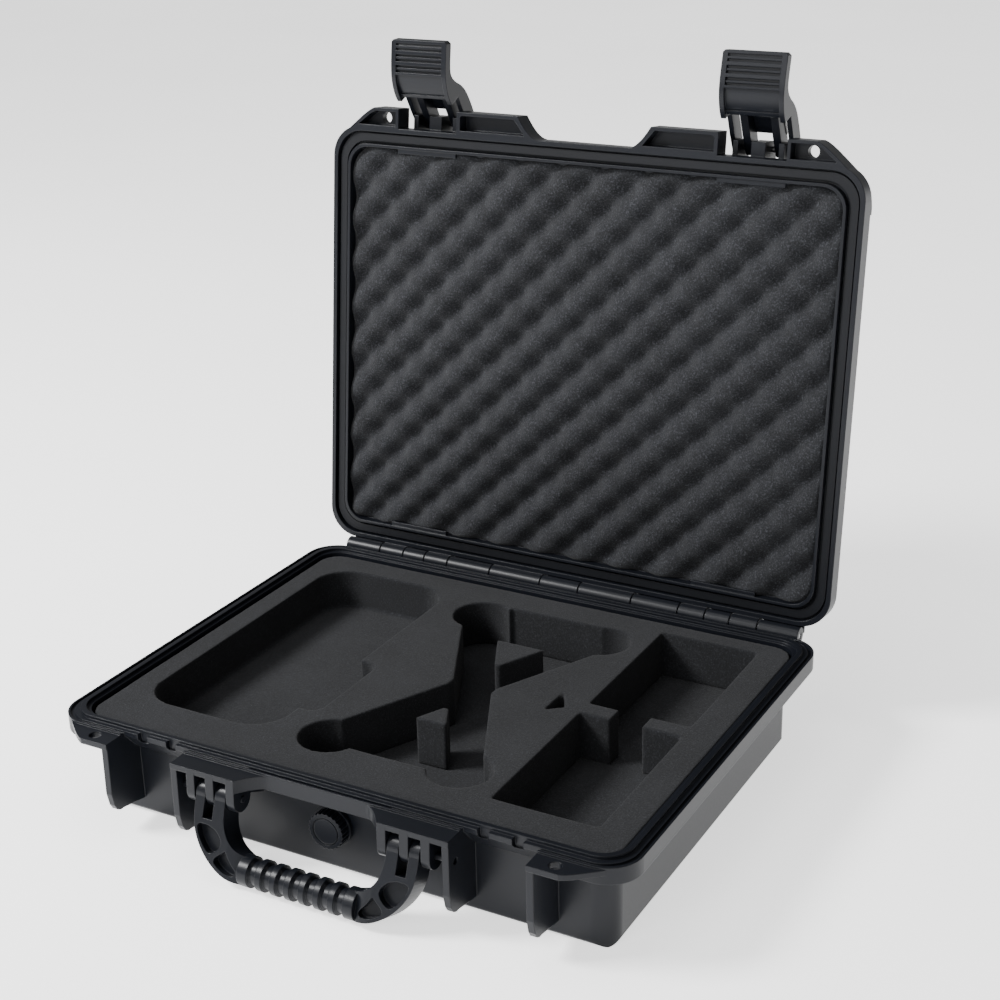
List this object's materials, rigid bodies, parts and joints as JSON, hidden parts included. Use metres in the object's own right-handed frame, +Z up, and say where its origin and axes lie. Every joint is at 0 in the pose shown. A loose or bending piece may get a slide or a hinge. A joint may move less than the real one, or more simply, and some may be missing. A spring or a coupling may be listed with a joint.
{
  "type": "drone carrying case",
  "caption": "Hard black carrying case standing open, with fitted foam pockets, convoluted lid foam, sealed rim, swing handle and latches.",
  "frame": {"origin": "centre of the underside of the base, where the case stands on a table", "axes": "+Z up, -Y towards the front with the latches and handle, +X to the right of someone facing the front from inside the case, along the hinge"},
  "size_m": [0.363, 0.3937, 0.4043],
  "materials": {
    "case_plastic": "satin black moulded plastic with a fine texture",
    "fitting_plastic": "satin black moulded plastic",
    "base_foam": "dark grey dense closed-cell foam",
    "lid_foam": "charcoal open-cell convoluted foam",
    "seal_rubber": "matt black rubber",
    "pin_steel": "plain steel rod"
  },
  "bodies": {
    "base": {"base_shell": "case_plastic", "base_foam_top": "base_foam", "base_foam_core": "base_foam", "base_foam_pad": "base_foam", "hinge_pin": "pin_steel", "valve_body": "fitting_plastic", "valve_inner_seal": "seal_rubber", "valve_flange_seal": "seal_rubber", "valve_nut": "fitting_plastic", "handle_pin_left": "fitting_plastic", "handle_pin_right": "fitting_plastic"},
    "lid": {"lid_shell": "case_plastic", "lid_gasket": "seal_rubber", "lid_foam": "lid_foam", "latch_pin_left": "pin_steel", "latch_pin_right": "pin_steel"},
    "handle": {"handle": "fitting_plastic"},
    "latch_left": {"latch_left": "fitting_plastic"},
    "latch_right": {"latch_right": "fitting_plastic"},
    "valve_knob": {"valve_knob": "fitting_plastic"}
  },
  "joints": [
    {"name": "lid_hinge", "type": "hinge", "parent": "base", "child": "lid", "pos_m": [0, 0.1461, 0.0585], "axis": [1, 0, 0], "range_deg": [0, 96.4]},
    {"name": "handle_swing", "type": "hinge", "parent": "base", "child": "handle", "pos_m": [0, -0.1457, 0.0435], "axis": [-1, 0, 0], "range_deg": [-18, 80]},
    {"name": "latch_left_swing", "type": "hinge", "parent": "lid", "child": "latch_left", "pos_m": [-0.1105, 0.20408, 0.34392], "axis": [1, 0, 0], "range_deg": [-63.5, 42]},
    {"name": "latch_right_swing", "type": "hinge", "parent": "lid", "child": "latch_right", "pos_m": [0.1105, 0.20408, 0.34392], "axis": [1, 0, 0], "range_deg": [-55.5, 50]},
    {"name": "valve_turn", "type": "hinge", "parent": "base", "child": "valve_knob", "pos_m": [0, -0.13, 0.0293], "axis": [0, -1, 0], "range_deg": [0, 180]}
  ]
}
